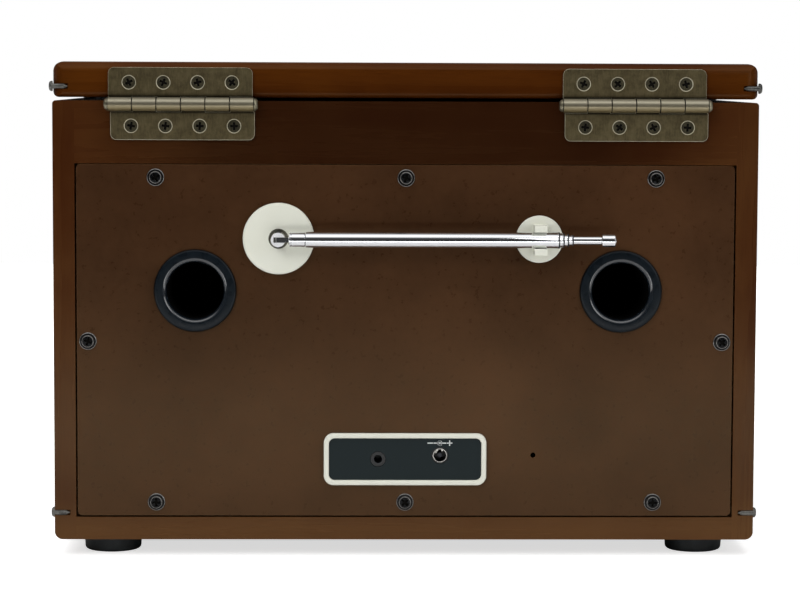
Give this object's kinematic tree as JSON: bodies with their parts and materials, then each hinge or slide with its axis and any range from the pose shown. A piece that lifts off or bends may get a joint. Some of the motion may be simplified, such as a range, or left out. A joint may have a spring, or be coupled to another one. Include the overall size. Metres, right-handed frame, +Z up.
{
  "type": "stereo music centre",
  "caption": "Wooden table music centre with hinged lid over a disc deck, round radio dial in front, folding telescopic aerial and sockets on the back",
  "frame": {"origin": "Middle of the overall length and depth, on the plane under the feet", "axes": "+X to the left as seen from behind, +Y out of the back, +Z up; the front faces -Y"},
  "size_m": [0.313, 0.2786, 0.2185],
  "materials": {
    "stained_wood": "satin",
    "lid_wood": "satin",
    "panel_board": "matte",
    "black_steel": "satin",
    "port_plastic": "gloss",
    "ivory_plastic": "gloss",
    "dark_plastic": "matte",
    "black_plastic": "satin",
    "foot_rubber": "matte",
    "bronze_leaf": "antique brushed",
    "bronze_pin": "antique polished",
    "tack_metal": "dull",
    "steel": "brushed",
    "chrome": "polished",
    "brass_part": "satin",
    "display_glass": "gloss",
    "lens_glass": "clear",
    "board_green": "satin",
    "cloth": "woven",
    "cone_paper": "matte",
    "lamp_red": "translucent",
    "motor_metal": "plain"
  },
  "bodies": {
    "body": {"cabinet": "stained_wood", "rear_panel": "panel_board", "rear_panel_screws": "black_steel", "bass_port_left": "port_plastic", "bass_port_right": "port_plastic", "aerial_disc": "ivory_plastic", "aerial_clip": "ivory_plastic", "terminal_frame": "ivory_plastic", "terminal_plate": "dark_plastic", "aux_socket": "black_plastic", "dc_socket": "black_plastic", "feet": "foot_rubber", "body_hinge_leaves": "bronze_leaf", "hinge_pins": "bronze_pin", "body_hinge_screws": "tack_metal", "body_edge_tacks": "tack_metal", "deck": "black_plastic", "deck_screws": "steel", "mech_chassis": "steel", "mech_grommets": "foot_rubber", "guide_rails": "steel", "disc_motors": "motor_metal", "display_window": "display_glass", "stay_guide": "brass_part", "key_board": "board_green", "front_panel": "panel_board", "grille_cloths": "cloth", "driver_frames": "black_steel", "driver_cones": "cone_paper", "dial_plate": "ivory_plastic", "dial_bezel": "brass_part", "power_lamp": "lamp_red", "control_pots": "motor_metal", "circuit_board": "board_green"},
    "lid_body": {"lid": "lid_wood", "lid_hinge_leaves": "bronze_leaf", "lid_hinge_screws": "tack_metal", "lid_edge_tacks": "tack_metal", "lid_stay": "brass_part", "lid_pads": "foot_rubber"},
    "aerial_swivel_body": {"aerial_stud": "chrome"},
    "aerial_1": {"aerial_tube_1": "chrome"},
    "aerial_2": {"aerial_tube_2": "chrome"},
    "aerial_3": {"aerial_tube_3": "chrome"},
    "aerial_4": {"aerial_tube_4": "chrome"},
    "aerial_5": {"aerial_tip_rod": "chrome"},
    "tuning": {"tuning_knob": "ivory_plastic", "tuning_pointer": "brass_part"},
    "volume": {"volume_knob": "ivory_plastic"},
    "function": {"function_knob": "ivory_plastic"},
    "hub": {"spindle_hub": "black_plastic"},
    "sled": {"pickup_sled": "black_plastic", "pickup_lens": "lens_glass"},
    "screw": {"lead_screw": "steel"},
    "play_key": {"key_play": "ivory_plastic"},
    "stop_key": {"key_stop": "ivory_plastic"},
    "mode_key": {"key_mode": "ivory_plastic"},
    "back_key": {"key_back": "ivory_plastic"},
    "next_key": {"key_next": "ivory_plastic"}
  },
  "joints": [
    {"name": "lid_hinge", "type": "hinge", "parent": "body", "child": "lid_body", "pos_m": [0, 0.1299, 0.2], "axis": [-1, 0, 0], "range_deg": [0, 70]},
    {"name": "aerial_swivel", "type": "hinge", "parent": "body", "child": "aerial_swivel_body", "pos_m": [0.056, 0.12665, 0.1413], "axis": [0, 1, 0], "range_deg": [0, 90]},
    {"name": "aerial_fold", "type": "hinge", "parent": "aerial_swivel_body", "child": "aerial_1", "pos_m": [0.056, 0.13585, 0.1413], "axis": [0, 0, -1], "range_deg": [0, 90]},
    {"name": "aerial_draw", "type": "slide", "parent": "aerial_1", "child": "aerial_2", "axis": [-1, 0, 0], "range_m": [0, 0.092]},
    {"name": "aerial_draw_3", "type": "slide", "parent": "aerial_2", "child": "aerial_3", "axis": [-1, 0, 0], "range_m": [0, 0.092]},
    {"name": "aerial_draw_4", "type": "slide", "parent": "aerial_3", "child": "aerial_4", "axis": [-1, 0, 0], "range_m": [0, 0.092]},
    {"name": "aerial_draw_5", "type": "slide", "parent": "aerial_4", "child": "aerial_5", "axis": [-1, 0, 0], "range_m": [0, 0.092]},
    {"name": "tuning_turn", "type": "hinge", "parent": "body", "child": "tuning", "pos_m": [0, -0.12335, 0.1315], "axis": [0, 1, 0], "range_deg": [-135, 135]},
    {"name": "volume_turn", "type": "hinge", "parent": "body", "child": "volume", "pos_m": [-0.026, -0.12335, 0.0535], "axis": [0, 1, 0], "range_deg": [0, 300]},
    {"name": "function_turn", "type": "hinge", "parent": "body", "child": "function", "pos_m": [0.026, -0.12335, 0.0535], "axis": [0, 1, 0], "range_deg": [0, 90]},
    {"name": "hub_spin", "type": "hinge", "parent": "body", "child": "hub", "pos_m": [-0.045, -0.00235, 0.182], "axis": [0, 0, -1], "continuous": true},
    {"name": "sled_slide", "type": "slide", "parent": "body", "child": "sled", "axis": [0, -1, 0], "range_m": [0, 0.034]},
    {"name": "screw_turn", "type": "hinge", "parent": "body", "child": "screw", "pos_m": [-0.015, -0.00235, 0.178], "axis": [0, 1, 0], "range_deg": [0, 4080]},
    {"name": "play_press", "type": "slide", "parent": "body", "child": "play_key", "axis": [0, 0, -1], "range_m": [0, 0.0012], "stiffness_N_per_m": 400, "springref_m": -0.0015},
    {"name": "stop_press", "type": "slide", "parent": "body", "child": "stop_key", "axis": [0, 0, -1], "range_m": [0, 0.0012], "stiffness_N_per_m": 400, "springref_m": -0.0015},
    {"name": "mode_press", "type": "slide", "parent": "body", "child": "mode_key", "axis": [0, 0, -1], "range_m": [0, 0.0012], "stiffness_N_per_m": 400, "springref_m": -0.0015},
    {"name": "back_press", "type": "slide", "parent": "body", "child": "back_key", "axis": [0, 0, -1], "range_m": [0, 0.0012], "stiffness_N_per_m": 400, "springref_m": -0.0015},
    {"name": "next_press", "type": "slide", "parent": "body", "child": "next_key", "axis": [0, 0, -1], "range_m": [0, 0.0012], "stiffness_N_per_m": 400, "springref_m": -0.0015}
  ],
  "couplings": [
    {"joint": "aerial_draw_3", "follows": "aerial_draw", "ratio": 1},
    {"joint": "aerial_draw_4", "follows": "aerial_draw", "ratio": 1},
    {"joint": "aerial_draw_5", "follows": "aerial_draw", "ratio": 1},
    {"joint": "screw_turn", "follows": "sled_slide", "rad_per_m": 2094.4}
  ]
}
